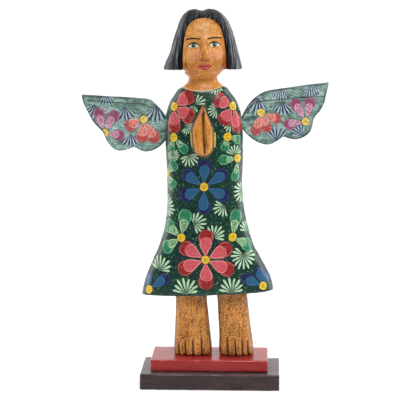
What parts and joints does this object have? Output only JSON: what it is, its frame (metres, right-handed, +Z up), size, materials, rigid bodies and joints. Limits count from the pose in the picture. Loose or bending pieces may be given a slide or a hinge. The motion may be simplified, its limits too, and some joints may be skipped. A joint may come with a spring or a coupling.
{
  "type": "angel sculpture",
  "caption": "Folk-art angel with praying hands and spread wings on a stepped plinth, carved in wood and painted with flowers.",
  "frame": {"origin": "middle of the plinth's flat underside", "axes": "+Z up, -Y the way the figure faces, +X to the right as seen from the front, which is the figure's own left"},
  "size_m": [0.2439, 0.0758, 0.3748],
  "materials": {
    "figure_paint": "dark green and orange-tan paint under a half-gloss varnish",
    "wing_paint": "grey-green paint under a half-gloss varnish",
    "red_paint": "glossy red paint",
    "dark_stain": "dark brown stain under varnish"
  },
  "bodies": {
    "root": {"figure": "figure_paint", "wing_left": "wing_paint", "wing_right": "wing_paint", "plinth_upper": "red_paint", "plinth_lower": "dark_stain"}
  },
  "joints": []
}
